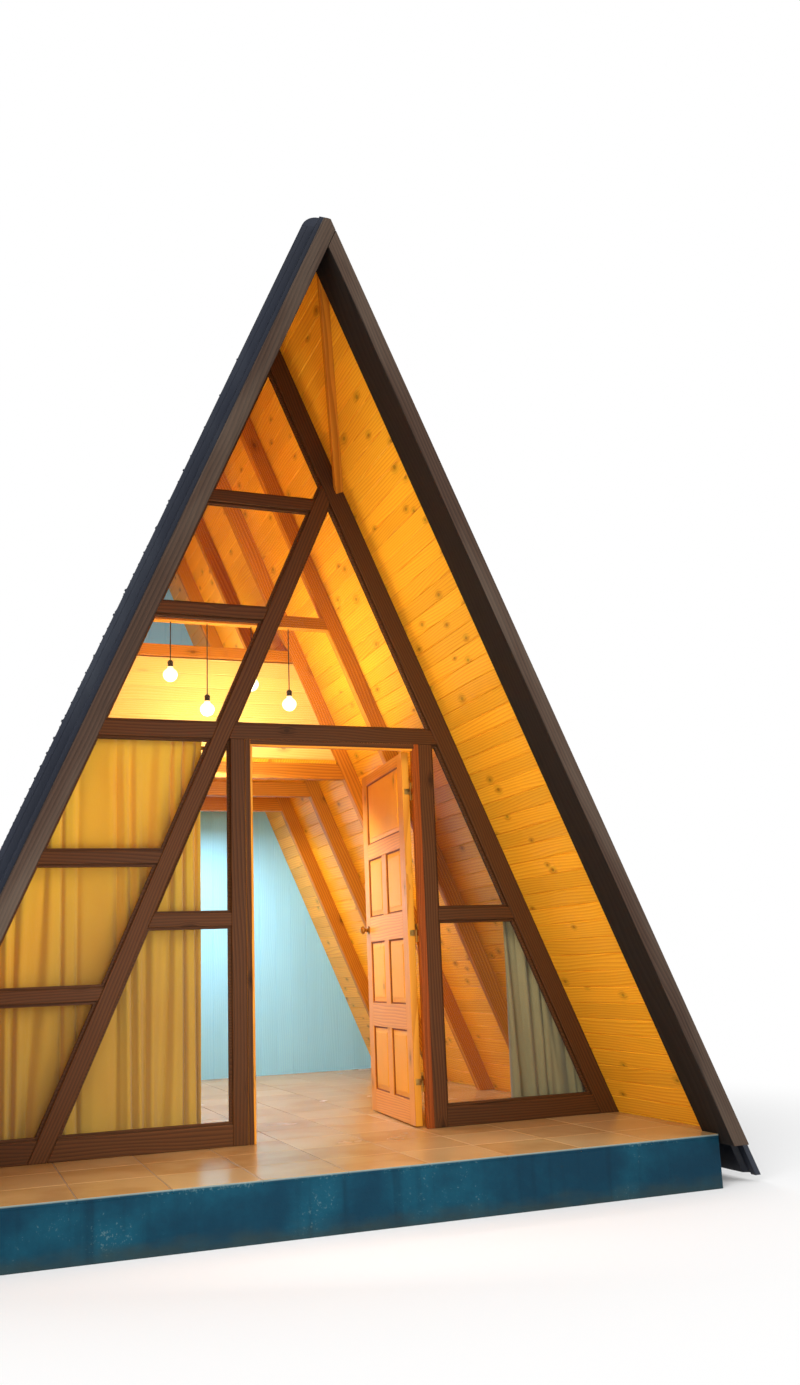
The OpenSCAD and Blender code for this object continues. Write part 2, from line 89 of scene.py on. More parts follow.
stand, sensor, focal_px, height_px = Vector((-1.7093, -8.005, 1.0898)), 36, 1202.48, 1385
yaw, pitch, roll = (math.radians(a) for a in (21.1486, 12.9732, -2.2933))
ahead = Vector((math.sin(yaw) * math.cos(pitch), math.cos(yaw) * math.cos(pitch), math.sin(pitch)))
level = Vector((math.cos(yaw), -math.sin(yaw), 0))
rise = level.cross(ahead)
right = level * math.cos(roll) + rise * math.sin(roll)
up = rise * math.cos(roll) - level * math.sin(roll)

camera = added("camera", bpy.data.cameras.new("camera"))
camera.matrix_world = Matrix.Translation(stand) @ facing(right, up, -ahead)
camera.data.sensor_width = sensor
camera.data.lens = sensor * focal_px / height_px
bpy.context.scene.camera = camera
print("lens", round(camera.data.lens, 2), "mm")

# %% [markdown]
# ## Hands for the modelling
#
# An operator works on all that is selected, so every step starts by selecting one thing. These
# helpers select an object and pick its faces or edges by where they lie.

# %% Helpers that select
def only(*things):
    """Selects these objects and nothing else."""
    bpy.ops.object.select_all(action="DESELECT")
    for thing in things:
        thing.select_set(True)
    bpy.context.view_layer.objects.active = things[-1]


def pick(piece, kind, where):
    """Goes into edit mode with the faces or edges picked that pass a test on their place."""
    only(piece)
    bpy.ops.object.mode_set(mode="EDIT")
    bpy.ops.mesh.select_mode(type=kind)
    bpy.ops.mesh.select_all(action="DESELECT")
    bpy.ops.object.mode_set(mode="OBJECT")
    mesh = piece.data
    if kind == "FACE":
        for face in mesh.polygons:
            face.select = bool(where(face.center, face.normal))
    else:
        for edge in mesh.edges:
            a, b = (mesh.vertices[i].co for i in edge.vertices)
            edge.select = bool(where(a, b))
    bpy.ops.object.mode_set(mode="EDIT")


def pick_all(piece):
    """Goes into edit mode with everything picked."""
    only(piece)
    bpy.ops.object.mode_set(mode="EDIT")
    bpy.ops.mesh.select_all(action="SELECT")


def done():
    bpy.ops.object.mode_set(mode="OBJECT")


# %% [markdown]
# The next ones shape. A piece starts as a block between two corners, an array of blocks, or a copy
# of a CAD node. Planes cut it, a bevel eases its edges, and its place is written into its mesh, so
# that it moves only with its body.

# %% Helpers that shape
def named(name):
    """The active object, under a name of its own."""
    piece = bpy.context.active_object
    piece.name = piece.data.name = name
    return piece


def settle(piece):
    """Writes a piece's place, turn and scale into its mesh."""
    only(piece)
    bpy.ops.object.transform_apply(location=True, rotation=True, scale=True)
    return piece


def put(piece, place):
    piece.matrix_world = place
    return settle(piece)


def modify(piece, kind, **values):
    """Adds a modifier and applies it."""
    only(piece)
    modifier = piece.modifiers.new(kind.lower(), kind)
    for key, value in values.items():
        setattr(modifier, key, value)
    bpy.ops.object.modifier_apply(modifier=modifier.name)
    return piece


def ease(piece, width, segments=2):
    """Rounds the sharp edges of a piece."""
    return modify(piece, "BEVEL", width=width, segments=segments, limit_method="ANGLE",
                  angle_limit=math.radians(25))


def block(name, low, high):
    """A block between two corners."""
    low, high = Vector(low), Vector(high)
    bpy.ops.mesh.primitive_cube_add(size=1, location=(low + high) / 2, scale=high - low)
    return settle(named(name))


def cut(piece, point, normal):
    """Cuts a piece with a plane and drops what lies beyond it."""
    pick_all(piece)
    bpy.ops.mesh.bisect(plane_co=point, plane_no=normal, use_fill=True, clear_outer=True)
    done()
    return piece


def repeat(piece, count, step):
    return modify(piece, "ARRAY", count=count, use_relative_offset=False,
                  use_constant_offset=True, constant_offset_displace=step)


def joined(name, pieces):
    """Joins pieces into one and names it."""
    only(*pieces)
    if len(pieces) > 1:
        bpy.ops.object.join()
    return named(name)


def copy_of(node, name):
    """A CAD node's shape as a piece of its own, with its loose triangles merged."""
    only(nodes[node])
    bpy.ops.object.duplicate()
    piece = named(name)
    piece.parent = None
    for key in list(piece.keys()):
        del piece[key]
    pick_all(piece)
    bpy.ops.mesh.remove_doubles(threshold=0.00002)
    bpy.ops.mesh.dissolve_limited(angle_limit=math.radians(1))
    done()
    return piece


# %% [markdown]
# ## The roof's lines
#
# Both slopes are the same line drawn at different depths, so one pair of functions gives every
# height and half width. Depths grow inwards from the inner face of the boarding, so the layers
# laid on it have depths below zero. A place on a slope is a matrix whose X runs down the boards and
# whose Z points out of the building, so a field of boards can be laid flat first and then leant.

# %% The slopes as numbers
RIDGE, LEAN = 4.890, math.atan2(4.640, 1.988)
FLOOR, BARGE = 0.250, 0.080
SEAT, LINING_BOARD, PURLIN, SHEET, RIB = 0.0002, 0.020, 0.030, 0.004, 0.024


def crown(depth):
    """Height of a slope's line over the middle, for a depth square to the slope."""
    return RIDGE - depth / math.cos(LEAN)


def half_at(depth, z):
    return (crown(depth) - z) / math.tan(LEAN)


def down(side):
    return Vector((side * math.cos(LEAN), 0, -math.sin(LEAN)))


def outward(side):
    return Vector((side * math.sin(LEAN), 0, math.cos(LEAN)))


def on_slope(side, depth, y):
    """Place on a slope: side is 1 on the right and -1 on the left."""
    out, fall = outward(side), down(side)
    return Matrix.Translation((0, y, crown(depth))) @ facing(fall, out.cross(fall), out)


print("lean", round(math.degrees(LEAN), 2), "degrees; lining meets at", round(crown(0), 3))

# %% [markdown]
# ## Shader maths as plain sums
#
# A finish is a small sum of noises, rings and masks. Written node by node it is long and hard to
# read, so a socket is wrapped in a class whose operators add the Math nodes. Every other node comes
# from one method, which sets its settings first and its sockets after.

# %% A socket that can be added up
class Wire:
    """A socket on which Python's operators add Math nodes."""

    def __init__(self, finish, socket):
        self.finish, self.socket = finish, socket

    def math(self, operation, *values):
        return self.finish.add("ShaderNodeMath", {"operation": operation},
                               dict(enumerate(values)))

    def __add__(self, other):
        return self.math("ADD", self, other)

    def __sub__(self, other):
        return self.math("SUBTRACT", self, other)

    def __rsub__(self, other):
        return self.math("SUBTRACT", other, self)

    def __mul__(self, other):
        return self.math("MULTIPLY", self, other)

    __radd__, __rmul__ = __add__, __mul__


def tone(red, green, blue):
    """A colour as a screen shows it, turned into the shader's own scale."""
    def linear(value):
        value /= 255
        return value / 12.92 if value < 0.04045 else ((value + 0.055) / 1.055) ** 2.4
    return (linear(red), linear(green), linear(blue), 1)


# %% [markdown]
# A finish then holds one material, or the studio's world. Its methods are the few things that a
# joiner's or painter's surface is made of: a place on the piece, noise, a soft step, a blend of
# colours and a relief.

# %% A finish and its few nodes
class Finish:
    """One material or world, built from wires."""

    def __init__(self, name, kind="materials"):
        self.owner = getattr(bpy.data, kind).new(name)
        self.owner.use_nodes = True
        self.tree = self.owner.node_tree
        self.tree.nodes.clear()

    def add(self, kind, settings=None, sockets=None, out=0):
        node = self.tree.nodes.new(kind)
        for key, value in (settings or {}).items():
            setattr(node, key, value)
        for key, value in (sockets or {}).items():
            if isinstance(value, Wire):
                self.tree.links.new(value.socket, node.inputs[key])
            else:
                node.inputs[key].default_value = value
        return None if out is None else Wire(self, node.outputs[out])

    def place(self, scale=(1, 1, 1)):
        """Object coordinates, scaled."""
        here = self.add("ShaderNodeTexCoord", out="Object")
        return self.add("ShaderNodeMapping", {}, {"Vector": here, "Scale": scale})

    def part(self, where, axis):
        """One of a place's three measures."""
        return self.add("ShaderNodeSeparateXYZ", {}, {0: where}, axis)

    def note(self, name, out="Vector"):
        """What a piece's mesh has written on it under a name."""
        return self.add("ShaderNodeAttribute", {"attribute_name": name}, out=out)

    def vector(self, operation, *values, out=0):
        return self.add("ShaderNodeVectorMath", {"operation": operation},
                        dict(enumerate(values)), out)

    def noise(self, where, scale, detail=2, roughness=0.5):
        return self.add("ShaderNodeTexNoise", {}, {"Vector": where, "Scale": scale,
                        "Detail": detail, "Roughness": roughness})

    def figure(self, where, stretch, detail=2):
        """Noise on a place that is first stretched along each axis."""
        return self.noise(self.vector("MULTIPLY", where, stretch), 1, detail)

    def step(self, value, low, high):
        """0 below low, 1 above high and soft between."""
        return self.add("ShaderNodeMapRange", {"interpolation_type": "SMOOTHSTEP"},
                        {"Value": value, "From Min": low, "From Max": high})

    def blend(self, a, b, factor, how="MIX"):
        return self.add("ShaderNodeMix", {"data_type": "RGBA", "blend_type": how},
                        {0: factor, 6: a, 7: b}, out=2)

    def shade(self, colour, value):
        """A colour made lighter or darker by a number."""
        grey = self.add("ShaderNodeCombineColor", {}, {0: value, 1: value, 2: value})
        return self.blend(colour, grey, 1.0, "MULTIPLY")

    def relief(self, height, distance, strength=1.0):
        return self.add("ShaderNodeBump", {}, {"Height": height, "Distance": distance,
                        "Strength": strength})

    def close(self, **sockets):
        """Ends the finish in one shader. Underscores stand for spaces in a socket's name."""
        shader = self.add("ShaderNodeBsdfPrincipled", {},
                          {key.replace("_", " "): value for key, value in sockets.items()})
        return self.end(shader)

    def end(self, shader, output="ShaderNodeOutputMaterial"):
        self.add(output, {}, {"Surface": shader}, out=None)
        return self.owner


# %% [markdown]
# ## Timber
#
# Each board was sawn from its own place in a log, so no two carry the same figure. The mesh of each
# wooden piece gets two notes: `grain`, its metres along, across and through the wood, shifted at
# random for each loose board, and `tint`, a number of its own for each board. The finish reads
# them, so the figure follows every timber whichever way it leans, and it moves with the door.
#
# The figure itself is a saw-tooth across the wood, bent by slow noise into long arches. Knots are
# cells of a flat Voronoi pattern: only some are used, and the rings part to pass round them.

# %% Write the wood's own measures on a mesh
dice = np.random.default_rng(7)


def loose_parts(mesh):
    """For each vertex, a number that all vertices of its loose part share."""
    ends = np.array([edge.vertices[:] for edge in mesh.edges])
    label = np.arange(len(mesh.vertices))
    while True:
        low = np.minimum(label[ends[:, 0]], label[ends[:, 1]])
        fresh = label.copy()
        np.minimum.at(fresh, ends[:, 0], low)
        np.minimum.at(fresh, ends[:, 1], low)
        if (fresh == label).all():
            return label
        label = fresh[fresh]


def lay_grain(piece, along, through=(0, 1, 0)):
    """Notes on a piece where each point lies in its board."""
    mesh = piece.data
    along, through = Vector(along).normalized(), Vector(through).normalized()
    axes = np.array([along, through.cross(along), through])
    points = np.array([v.co for v in mesh.vertices])
    groups, index = np.unique(loose_parts(mesh), return_inverse=True)
    shift = dice.uniform(-40, 40, (len(groups), 3)).round(2)
    grain = mesh.attributes.new("grain", "FLOAT_VECTOR", "POINT")
    grain.data.foreach_set("vector", (points @ axes.T + shift[index]).astype(np.float32).ravel())
    tint = mesh.attributes.new("tint", "FLOAT", "POINT")
    tint.data.foreach_set("value", dice.random(len(groups))[index].astype(np.float32))
    return piece


# %% [markdown]
# One recipe makes every timber in the cabin. The varnished boards are pale with many knots, the
# frame is stained so dark that only its rings show, and the barge boards have gone grey outdoors,
# with dark checks along the grain.

# %% The timber recipe
CELLS_ALONG, CELLS_ACROSS, KNOT_STRETCH, RINGS = 2.6, 8.5, 0.6, 60


def timber(name, pale, dark, knots=0.0, spread=0.22, weather=0.0, rough=0.5, coat=0.0):
    """A finish for boards: two tones, how many knots, how much the boards differ, how weathered."""
    f = Finish(name)
    grain, tint = f.note("grain"), f.note("tint", "Fac")
    cells = f.vector("MULTIPLY", grain, (CELLS_ALONG, CELLS_ACROSS, 0))
    knot_at = f.add("ShaderNodeTexVoronoi", {"voronoi_dimensions": "2D"},
                    {"Vector": cells, "Scale": 1, "Randomness": 0.85}, out="Position")
    pick_one = f.add("ShaderNodeTexWhiteNoise", {"noise_dimensions": "2D"}, {"Vector": knot_at})
    away = f.vector("MULTIPLY", f.vector("SUBTRACT", cells, knot_at),
                    (KNOT_STRETCH / CELLS_ALONG, 1 / CELLS_ACROSS, 0))
    reach = f.vector("LENGTH", away, out="Value")
    used = f.step(pick_one, 1 - knots - 0.001, 1 - knots)
    size = pick_one * 0.012 + 0.001
    knot = (1 - f.step(reach, size * 0.6, size)) * used
    halo = (1 - f.step(reach, size, size * 3.5)) * used
    across, through, aside = f.part(grain, 1), f.part(grain, 2), f.part(away, 1)
    slow = f.figure(grain, (0.55, 3, 3))
    line = (across + through * 0.45 + slow * 0.16 - aside * halo * 0.8) * RINGS
    tooth = line.math("FRACT", line)
    ring = f.step(tooth, 0.15, 0.95) * (1 - f.step(tooth, 0.95, 1.0))
    fibre = f.figure(grain, (5, 260, 260))
    cloud = f.figure(grain, (0.9, 5, 5), 3)
    colour = f.blend(pale, dark, ring * 0.55 + fibre * 0.25 + cloud * 0.35 - 0.12)
    colour = f.blend(colour, f.shade(colour, 0.45), halo * 0.45 + knot * 0.55)
    colour = f.shade(colour, tint * spread + (1.04 - spread / 2) + (cloud - 0.5) * 0.25)
    height = fibre * 0.5 + ring * 0.3 - knot * 0.4
    if weather:
        check = f.step(f.figure(grain, (1.1, 46, 46), 3), 0.62, 0.72)
        grey = f.step(f.figure(grain, (0.8, 6, 6), 4), 0.42, 0.66)
        colour = f.blend(colour, tone(124, 112, 98), grey * weather)
        colour = f.blend(colour, tone(34, 26, 20), check * 0.75)
        height = height - check * 1.5
    print("timber finish:", name)
    return f.close(Base_Color=colour, Roughness=fibre * 0.18 + (rough - 0.09) + halo * 0.05,
                   Normal=f.relief(height, 0.0006, 0.7), Coat_Weight=coat, Coat_Roughness=0.28,
                   Specular_IOR_Level=0.3)


lining_pine = timber("lining_pine", tone(246, 184, 46), tone(216, 132, 16), knots=0.42,
                     rough=0.42, coat=0.12)
rafter_wood = timber("rafter_wood", tone(208, 134, 34), tone(152, 84, 12), knots=0.15)
frame_wood = timber("frame_wood", tone(92, 54, 24), tone(46, 25, 10), knots=0.1, rough=0.55)
barge_wood = timber("barge_wood", tone(64, 46, 35), tone(33, 23, 17), knots=0.12, weather=0.16,
                    rough=0.75)
# A darker copy of the barge stain: painted shade for the barges' under faces.
barge_painted_shade = timber("barge_painted_shade", tone(30, 23, 18), tone(15, 11, 9), knots=0.1, rough=0.8)
door_wood = timber("door_wood", tone(234, 160, 48), tone(190, 108, 20), knots=0.22, rough=0.38,
                   coat=0.15)
door_panel = timber("door_panel", tone(240, 172, 30), tone(214, 134, 16), knots=0.1, rough=0.42,
                    coat=0.1)
# A dark copy of the door's wood: painted shade for the panels' beads and the reveal by the hinges.
door_painted_shade = timber("door_painted_shade", tone(150, 72, 20), tone(104, 44, 8))
cream_paint = timber("cream_paint", tone(250, 212, 116), tone(240, 190, 84), knots=0.1, spread=0.1)
# White paint tinted aqua: painted cyan light.
white_paint = timber("white_paint", tone(156, 222, 250), tone(142, 210, 242), spread=0.06)

# %% [markdown]
# ## Hanging a piece on its body
#
# Every piece says which body it moves with, which CAD node it stands for, and which slot of the
# record its finish comes from. One helper gives it its finish, hangs it on its body, hides the node
# and prints what it did. Another gives a finish to CAD parts whose own shape is right already.

# %% Finish, ride and stand for a node
def hang(piece, finish, slot, *stands_for, body="cabin"):
    piece.data.materials.clear()
    piece.data.materials.append(finish)
    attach(piece, body)
    if stands_for:
        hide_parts(*stands_for)
    faces = len(piece.data.polygons) if piece.type == "MESH" else 0
    print(f"{piece.name}: {faces} faces on {body}", *stands_for)
    return piece


def dress(finish, *names):
    """Gives CAD parts a finish and leaves their shape."""
    for name in names:
        nodes[name].data.materials.clear()
        nodes[name].data.materials.append(finish)
    print(finish.name, "on", *names)


# %% [markdown]
# Some pieces carry a second finish on a few faces: the barges' under faces get painted shade, and
# the boards' sawn ends at the verge were brushed with the barges' stain.

# %% A second finish on chosen faces
def second(piece, finish, where):
    piece.data.materials.append(finish)
    for face in piece.data.polygons:
        if where(face.center, face.normal):
            face.material_index = len(piece.data.materials) - 1


# %% [markdown]
# ## Timbers of the frame
#
# A sawn and planed timber has arrises eased with a plane, and that thin bright line is what makes
# it read as wood. The CAD solids have the right shape but dead sharp edges, so each is copied,
# merged, rounded by a few millimetres and given its grain along its own length. The barges, which
# the weather reaches, are rounded a little more.

# %% Ease and dress the timbers
ACROSS, ALONG, UPRIGHT = (1, 0, 0), (0, 1, 0), (0, 0, 1)
LEFT, RIGHT = down(-1), down(1)
SIDES = ((-1, "left"), (1, "right"))
timbers = [
    (barge_wood, "barge_wood", 0.005, {
        "left_barge": LEFT, "right_barge": RIGHT, "rear_left_barge": LEFT,
        "rear_right_barge": RIGHT}),
    (frame_wood, "dark_wood", 0.004, {
        "left_front_rafter": LEFT, "right_front_rafter": RIGHT, "brace": LEFT, "transom": ACROSS,
        "left_post": UPRIGHT, "right_post": UPRIGHT, "left_rails": ACROSS, "mid_rails": ACROSS,
        "left_sill": ACROSS, "right_sill": ACROSS}),
    (rafter_wood, "rafter_wood", 0.004, {
        "left_rafters": LEFT, "right_rafters": RIGHT, "collar_ties": ACROSS, "loft_beams": ACROSS,
        "purlins": ALONG}),
]
for finish, slot, arris, members in timbers:
    for node, along in members.items():
        piece = ease(copy_of(node, node + "_timber"), arris)
        lay_grain(piece, along, UPRIGHT if along == ALONG else ALONG)
        hang(piece, finish, slot, node)
        # The barges' faces that look inwards and down take the darker finish, as painted shade.
        if finish == barge_wood:
            inward = -outward(-1 if "left" in node else 1)
            second(piece, barge_painted_shade, lambda place, normal: normal.dot(inward) > 0.6)

# %% [markdown]
# The two soffit braces are plain boards fixed flat on the lining. Their grain runs from the ridge
# at the barge back and down to the front rafter, nearly as far along as down.

# %% Soffit braces
brace_down, brace_back = 0.948, 0.939
for side, word in SIDES:
    piece = ease(copy_of(f"{word}_soffit_brace", f"{word}_soffit_brace_board"), 0.003)
    lay_grain(piece, down(side) * brace_down + Vector(ALONG) * brace_back, outward(side))
    hang(piece, rafter_wood, "pine_boards", f"{word}_soffit_brace")

# %% [markdown]
# ## Fields of boards
#
# The slopes, the loft and both gables are boarded. A board is modelled once, lying on its good
# face, with the two long edges of that face taken off so that neighbours meet in a V. An array lays
# the rest beside it, the field is leant into place, and planes trim its ends, as a saw would.

# %% A field of boards, laid flat
def board_field(name, count, width, length, thick, groove):
    """Boards across X and along Y, with their good face down at z = 0."""
    field = block(name, (0, 0, 0), (width, length, thick))
    pick(field, "EDGE", lambda a, b: max(a.z, b.z) < 1e-6 and abs(a.x - b.x) < 1e-6)
    bpy.ops.mesh.bevel(offset=groove, segments=1)
    done()
    return repeat(field, count, (width, 0, 0))


# %% [markdown]
# The lining runs from front to back, 55 boards to a slope. The field starts a little past the ridge
# and is cut on the building's middle. Rain reaches the ends and the upper side of the boards at the
# verge, so they take the barges' stain, and only the face that shows from below is varnished.

# %% Line the slopes
LINING, past_ridge, rows, board_wide, groove = -SEAT, 0.090, 55, 0.095, 0.0045
for side, word in SIDES:
    low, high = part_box(f"{word}_lining")
    field = board_field(f"{word}_lining_boards", rows, board_wide, high.y - low.y, LINING_BOARD,
                        groove)
    put(field, on_slope(side, LINING, low.y if side > 0 else high.y)
        @ Matrix.Translation((-past_ridge, 0, 0)))
    cut(field, (0, 0, 0), (-side, 0, 0))
    cut(field, (0, 0, low.z), (0, 0, -1))
    cut(field, (0, 0, high.z), (0, 0, 1))
    lay_grain(field, ALONG, outward(side))
    hang(field, lining_pine, "pine_boards", f"{word}_lining")
    weather_side = outward(side)
    second(field, barge_wood, lambda place, normal: abs(normal.y) > 0.9
           or normal.dot(weather_side) > 0.9)

# %% [markdown]
# The gables are cut to the slopes. The back wall has upright boards, stained outside and painted
# white inside, tinted aqua there as painted cyan light. The loft guard is a low gable of level
# cream boards, cut deeper, so that it stops at the rafters. The loft's floor comes last, good face
# down, where it shows from the room.

# %% Gables, guard and loft
def trim_to_slopes(field, depth):
    for side in (-1, 1):
        cut(field, (0, 0, crown(depth)), outward(side))
    return field


def wall_of_boards(node, width, groove, outside, level):
    """A boarded wall in the place of a gable node, with its good face outside or inside."""
    low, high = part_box(node)
    wide, tall, thick = high.x - low.x, high.z - low.z, high.y - low.y
    count = math.ceil((tall if level else wide) / width)
    field = board_field(node + "_boards", count, width, wide if level else tall, thick, groove)
    face_y = high.y if outside else low.y
    across, along = (UPRIGHT, ACROSS) if level else (ACROSS, UPRIGHT)
    across, along, into = Vector(across), Vector(along), Vector((0, -1 if outside else 1, 0))
    start = Vector((low.x, face_y, low.z))
    if across.cross(along).dot(into) < 0:
        start, across = start + across * (count * width), -across
    put(field, Matrix.Translation(start) @ facing(across, along, into))
    return cut(field, (0, 0, high.z), (0, 0, 1))


walls = [
    ("back_outer_wall", 0.120, 0.006, True, False, UPRIGHT, barge_wood, "barge_wood", 0.0),
    ("back_inner_wall", 0.140, 0.003, False, False, UPRIGHT, white_paint, "white_paint", 0.0),
    ("loft_guard", 0.098, 0.004, False, True, ACROSS, cream_paint, "cream_boards", 0.1002),
]
for node, width, groove, outside, level, along, finish, slot, depth in walls:
    wall = wall_of_boards(node, width, groove, outside, level)
    lay_grain(trim_to_slopes(wall, depth), along)
    hang(wall, finish, slot, node)

low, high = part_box("loft_boards")
rows, groove = 18, 0.004
loft = board_field("loft_floor_boards", rows, (high.x - low.x) / rows, high.y - low.y,
                   high.z - low.z, groove)
put(loft, Matrix.Translation(low))
lay_grain(loft, ALONG, UPRIGHT)
hang(loft, lining_pine, "pine_boards", "loft_boards")

# %% [markdown]
# ## Painted plinth
#
# The plinth is trowelled concrete under a chalky teal paint. The paint is worn in patches, a little
# more near the top, and darkened low down, where rain splashes earth on it. A pale band runs along
# the top edge, and faint streaks run down from the tiles. A block with a worn edge carries it; the
# rest is in the finish.

# %% Plinth
def painted_concrete():
    f = Finish("painted_concrete")
    here = f.place()
    height = f.part(here, 2)
    patch = f.noise(here, 2.6, 5, 0.62)
    grit = f.noise(here, 90, 3, 0.6)
    trowel = f.noise(f.place(scale=(1, 1, 2.6)), 9, 3)
    streak = f.step(f.noise(f.place(scale=(16, 16, 0.8)), 1, 3), 0.52, 0.74)
    paint = f.blend(tone(3, 44, 62), tone(12, 68, 86), f.step(patch, 0.35, 0.72))
    paint = f.blend(paint, tone(3, 34, 50), streak * 0.55)
    worn = f.step(patch * 0.5 + grit * 0.5 + f.step(height, 0.215, 0.245) * 0.06, 0.6, 0.66)
    paint = f.blend(paint, tone(84, 112, 116), worn * 0.55)
    # A pale band along the top edge of the face.
    paint = f.blend(paint, tone(138, 150, 142), f.step(height, 0.240, 0.247) * 0.7)
    splash = 1 - f.step(height + trowel * 0.09, 0.03, 0.13)
    paint = f.blend(paint, tone(48, 54, 44), splash * 0.6)
    return f.close(Base_Color=paint, Roughness=patch * 0.2 + 0.62,
                   Normal=f.relief(grit * 0.35 + trowel * 0.9 - worn * 0.25, 0.004, 0.8),
                   Specular_IOR_Level=0.2)


paint = painted_concrete()
plinth = ease(copy_of("plinth", "plinth_slab"), 0.003, 3)
hang(plinth, paint, "painted_concrete", "plinth")

# %% [markdown]
# ## Clay tiles
#
# The floor is laid in large terracotta tiles that run through from the porch to the room. Each tile
# is its own block with a pillowed edge, so the joints catch light, and its tint note makes it a
# little redder or paler than the next. Grout fills between them, a little low. The strips beside
# the middle field stop short of the barges' feet, and the plinth's paint runs up over the tiles'
# front edges.

# %% Tiles and grout
def clay(name):
    f = Finish(name)
    here, tint = f.place(), f.note("tint", "Fac")
    blotch, speck = f.noise(here, 3, 3, 0.5), f.noise(here, 140, 2)
    fired = f.blend(tone(184, 144, 92), tone(162, 118, 66), f.step(blotch, 0.35, 0.7))
    fired = f.blend(fired, tone(202, 170, 122), tint * 0.5)
    fired = f.shade(fired, speck * 0.14 + 0.93)
    return f.close(Base_Color=fired, Roughness=blotch * 0.16 + 0.16,
                   Normal=f.relief(speck * 0.3 + blotch, 0.0008, 0.5))


def grout():
    f = Finish("grout")
    sand = f.noise(f.place(), 220, 2)
    return f.close(Base_Color=f.blend(tone(142, 122, 104), tone(112, 96, 82), sand),
                   Roughness=0.9, Normal=f.relief(sand, 0.0008))


JOINT, FRONT_NOTCH, BACK_NOTCH = 0.004, 0.147, 0.092


def laid_tiles(low, high, columns, rows):
    """Tiles with pillowed edges, set out in columns and rows between two corners."""
    wide, long = (high.x - low.x + JOINT) / columns, (high.y - low.y + JOINT) / rows
    tiles = block("tiles", low, (low.x + wide - JOINT, low.y + long - JOINT, high.z))
    pick(tiles, "EDGE", lambda a, b: min(a.z, b.z) > high.z - 1e-5 or abs(a.z - b.z) > 0.01)
    bpy.ops.mesh.bevel(offset=0.0025, segments=2)
    done()
    return repeat(repeat(tiles, columns, (wide, 0, 0)), rows, (0, long, 0))


low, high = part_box("floor_tiles")
columns, rows, foot_half = 10, 14, half_at(BARGE, FLOOR) - JOINT / 2
fields = [laid_tiles(Vector((-foot_half, low.y, low.z)), Vector((foot_half, high.y, high.z)),
                     columns, rows)]
for side in (-1, 1):
    a, b = sorted((side * (foot_half + JOINT), side * high.x))
    fields.append(laid_tiles(Vector((a, low.y + FRONT_NOTCH, low.z)),
                             Vector((b, high.y - BACK_NOTCH, high.z)), 1, rows - 1))
tiles = joined("floor_tiles_laid", fields)
lay_grain(tiles, ACROSS, UPRIGHT)
bed = copy_of("floor_tiles", "tile_grout")
pick_all(bed)
bpy.ops.transform.shrink_fatten(value=-JOINT / 2, use_even_offset=True)
done()
hang(tiles, clay("clay_tile"), "clay_tiles", "floor_tiles")
face_y = high.y - 0.003
second(tiles, paint, lambda place, normal: abs(place.y) > face_y and abs(normal.y) > 0.3
       and abs(normal.z) < 0.5)
hang(bed, grout(), "clay_tiles")
second(bed, paint, lambda place, normal: abs(place.y) > face_y and abs(normal.y) > 0.9)
wide, long = 2 * foot_half / columns, (high.y - low.y) / rows
print("tile", round(wide - JOINT, 3), "by", round(long - JOINT, 3), "m")

# %% [markdown]
# ## Glass and its beads
#
# The panes are still the CAD's own. Thin clear glass is best as a nearly see-through surface with
# a sharp gloss: it lets the room's light through, where a refracting shader would leave it dark.

# %% Glass
def clear_glass():
    f = Finish("clear_glass")
    smear = f.noise(f.place(scale=(1, 1, 0.6)), 1.7, 3)
    return f.close(Base_Color=tone(70, 84, 84), Roughness=smear * 0.05 + 0.02,
                   Alpha=f.step(smear, 0.3, 0.75) * 0.03 + 0.04, IOR=1.5)


glass = clear_glass()
glass.surface_render_method = "BLENDED"
panes = "upper_glass", "left_glass", "right_glass"
dress(glass, *panes)

# %% [markdown]
# Each pane is held by a small quarter-round bead on both sides. It is grown from the pane's own
# outline by an inset, whose middle is deleted, so it fits every slope.

# %% Glazing beads
def band(piece, wide, thick):
    """Keeps a band round each flat face and gives it a thickness."""
    pick(piece, "FACE", lambda place, normal: abs(normal.y) < 0.9)
    bpy.ops.mesh.delete(type="FACE")
    bpy.ops.mesh.select_all(action="SELECT")
    bpy.ops.mesh.inset(thickness=wide, use_individual=True)
    bpy.ops.mesh.delete(type="FACE")
    done()
    return modify(piece, "SOLIDIFY", thickness=thick, offset=1)


for pane in panes:
    beads = ease(band(copy_of(pane, pane + "_beads"), wide=0.014, thick=0.011), 0.003)
    hang(lay_grain(beads, ACROSS), frame_wood, "dark_wood")

# %% [markdown]
# ## The door
#
# The leaf is framed: two stiles run its full height, rails sit between them and a middle stile
# parts the lower rows. Seven panels are raised in their middles and slope away to the frame, which
# gives the dark lines round each, made darker by beads whose dark finish is painted shade. The
# members are separate boards, drawn as if the door were shut, with X along the leaf from the hinge
# line. The whole is turned open at the end.

